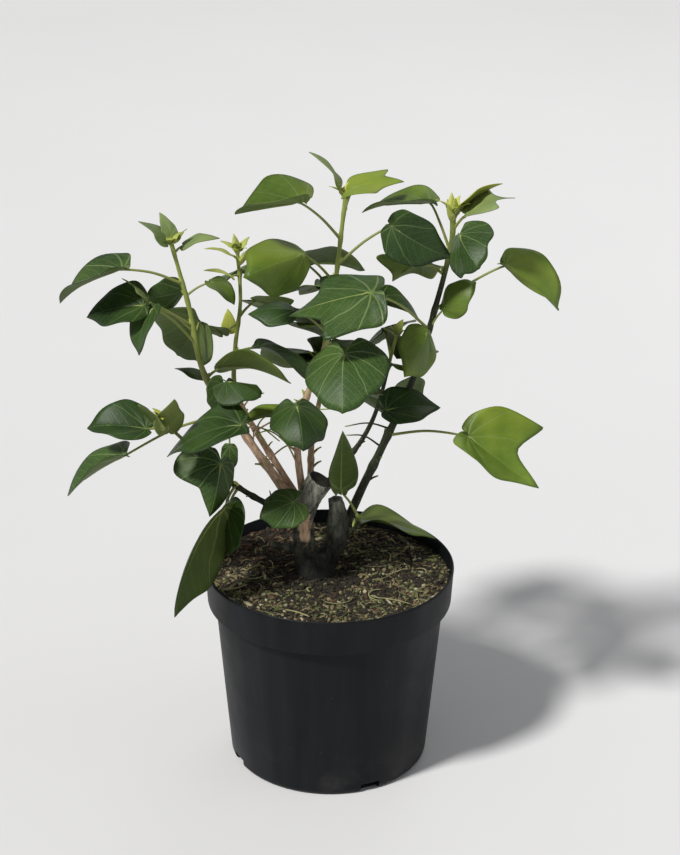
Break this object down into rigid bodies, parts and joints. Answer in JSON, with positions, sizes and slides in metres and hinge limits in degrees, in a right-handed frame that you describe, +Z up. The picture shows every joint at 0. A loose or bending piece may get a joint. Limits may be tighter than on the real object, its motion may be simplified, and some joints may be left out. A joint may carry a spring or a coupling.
{
  "type": "potted tree ivy",
  "caption": "Bushy young tree ivy with glossy green leaves on slender upright stems from an old woody stock, growing in a round tapered nursery pot with a banded rim.",
  "frame": {"origin": "middle of the pot's flat underside", "axes": "+Z up along the pot's axis, +X to the right as seen from the front, -Y towards the viewer"},
  "size_m": [0.3556, 0.2189, 0.4691],
  "materials": {
    "pot_plastic": "thin moulded charcoal plastic, slightly glossy",
    "potting_soil": "dark peat with pale straw and bark crumbs",
    "old_bark": "rough grey-brown bark with moss",
    "young_bark": "smooth tan to olive bark",
    "foliage": "glossy dark green leaves with paler veins"
  },
  "bodies": {
    "root": {"pot": "pot_plastic", "soil": "potting_soil", "trunk": "old_bark", "bough_left": "young_bark", "bough_low_left": "young_bark", "bough_mid_left": "young_bark", "bough_centre": "young_bark", "bough_right": "young_bark", "bough_mid_right": "young_bark", "bough_back": "young_bark", "foliage_left": "foliage", "foliage_low_left": "foliage", "foliage_mid_left": "foliage", "foliage_centre": "foliage", "foliage_right": "foliage", "foliage_mid_right": "foliage", "foliage_back": "foliage", "foliage_foot_left": "foliage", "foliage_foot_right": "foliage"}
  },
  "joints": []
}
